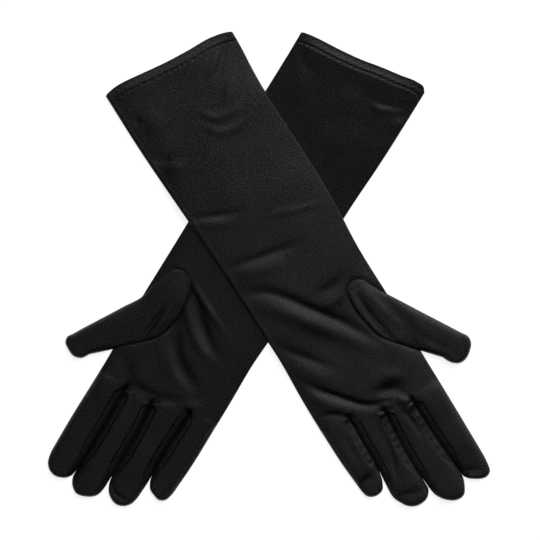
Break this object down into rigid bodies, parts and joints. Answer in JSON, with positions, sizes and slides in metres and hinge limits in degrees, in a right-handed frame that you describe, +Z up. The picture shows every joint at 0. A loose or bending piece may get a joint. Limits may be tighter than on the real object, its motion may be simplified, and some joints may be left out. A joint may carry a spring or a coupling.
{
  "type": "opera gloves",
  "caption": "Pair of elbow-length stretch satin opera gloves lying crossed with palms up, each with a hemmed open cuff, thumb gusset and fourchettes between the fingers.",
  "frame": {"origin": "centre of the pair's outline on the surface that the gloves lie on", "axes": "+Z up out of the palms, +Y from the fingertips towards the cuffs, +X to the right as seen from above with the cuffs at the top"},
  "size_m": [0.3376, 0.3659, 0.0144],
  "materials": {
    "satin": "black stretch satin with a soft sheen",
    "hem_satin": "black stretch satin, doubled at the hem",
    "fourchette_satin": "black stretch satin, side strips of the fingers",
    "thread": "black polyester sewing thread"
  },
  "bodies": {
    "right_glove": {"right_palm_panel": "satin", "right_back_panel": "satin", "right_folded_edge": "satin", "right_side_seam": "satin", "right_hem_palm_side": "hem_satin", "right_hem_back_side": "hem_satin", "right_hem_stitching": "thread", "right_thumb_gusset": "satin", "right_gusset_stitching": "thread"},
    "right_thumb": {"right_thumb_front": "satin", "right_thumb_back": "satin", "right_thumb_fold": "satin", "right_thumb_seam": "satin"},
    "right_index": {"right_index_front": "satin", "right_index_back": "satin", "right_index_fold": "satin", "right_index_fourchette": "fourchette_satin"},
    "right_middle": {"right_middle_front": "satin", "right_middle_back": "satin", "right_middle_fourchette_index_side": "fourchette_satin", "right_middle_fourchette_ring_side": "fourchette_satin"},
    "right_ring": {"right_ring_front": "satin", "right_ring_back": "satin", "right_ring_fourchette_middle_side": "fourchette_satin", "right_ring_fourchette_little_side": "fourchette_satin"},
    "right_little": {"right_little_front": "satin", "right_little_back": "satin", "right_little_fourchette": "fourchette_satin", "right_little_seam": "satin"},
    "left_glove": {"left_palm_panel": "satin", "left_back_panel": "satin", "left_folded_edge": "satin", "left_side_seam": "satin", "left_hem_palm_side": "hem_satin", "left_hem_back_side": "hem_satin", "left_hem_stitching": "thread", "left_thumb_gusset": "satin", "left_gusset_stitching": "thread"},
    "left_thumb": {"left_thumb_front": "satin", "left_thumb_back": "satin", "left_thumb_fold": "satin", "left_thumb_seam": "satin"},
    "left_index": {"left_index_front": "satin", "left_index_back": "satin", "left_index_fold": "satin", "left_index_fourchette": "fourchette_satin"},
    "left_middle": {"left_middle_front": "satin", "left_middle_back": "satin", "left_middle_fourchette_index_side": "fourchette_satin", "left_middle_fourchette_ring_side": "fourchette_satin"},
    "left_ring": {"left_ring_front": "satin", "left_ring_back": "satin", "left_ring_fourchette_middle_side": "fourchette_satin", "left_ring_fourchette_little_side": "fourchette_satin"},
    "left_little": {"left_little_front": "satin", "left_little_back": "satin", "left_little_fourchette": "fourchette_satin", "left_little_seam": "satin"}
  },
  "joints": [
    {"name": "left_glove_lift", "type": "slide", "parent": "right_glove", "child": "left_glove", "axis": [0, 0, 1], "range_m": [0, 0.12]},
    {"name": "right_index_fold", "type": "hinge", "parent": "right_glove", "child": "right_index", "pos_m": [-0.11945, -0.08508, 0.007], "axis": [-0.848, 0.5299, 0], "range_deg": [0, 90]},
    {"name": "right_middle_fold", "type": "hinge", "parent": "right_glove", "child": "right_middle", "pos_m": [-0.09974, -0.0974, 0.007], "axis": [-0.848, 0.5299, 0], "range_deg": [0, 90]},
    {"name": "right_ring_fold", "type": "hinge", "parent": "right_glove", "child": "right_ring", "pos_m": [-0.07663, -0.10948, 0.007], "axis": [-0.848, 0.5299, 0], "range_deg": [0, 90]},
    {"name": "right_little_fold", "type": "hinge", "parent": "right_glove", "child": "right_little", "pos_m": [-0.05203, -0.11778, 0.007], "axis": [-0.848, 0.5299, 0], "range_deg": [0, 90]},
    {"name": "right_thumb_fold", "type": "hinge", "parent": "right_glove", "child": "right_thumb", "pos_m": [-0.10917, -0.0408, 0.007], "axis": [0.5299, 0.848, 0], "range_deg": [0, 90]},
    {"name": "left_index_fold", "type": "hinge", "parent": "left_glove", "child": "left_index", "pos_m": [0.12184, -0.0932, 0.007], "axis": [-0.848, -0.5299, 0], "range_deg": [0, 90]},
    {"name": "left_middle_fold", "type": "hinge", "parent": "left_glove", "child": "left_middle", "pos_m": [0.10064, -0.10408, 0.007], "axis": [-0.848, -0.5299, 0], "range_deg": [0, 90]},
    {"name": "left_ring_fold", "type": "hinge", "parent": "left_glove", "child": "left_ring", "pos_m": [0.07774, -0.11368, 0.007], "axis": [-0.848, -0.5299, 0], "range_deg": [0, 90]},
    {"name": "left_little_fold", "type": "hinge", "parent": "left_glove", "child": "left_little", "pos_m": [0.05283, -0.12099, 0.007], "axis": [-0.848, -0.5299, 0], "range_deg": [0, 90]},
    {"name": "left_thumb_fold", "type": "hinge", "parent": "left_glove", "child": "left_thumb", "pos_m": [0.10648, -0.0403, 0.007], "axis": [0.5299, -0.848, 0], "range_deg": [0, 90]}
  ]
}
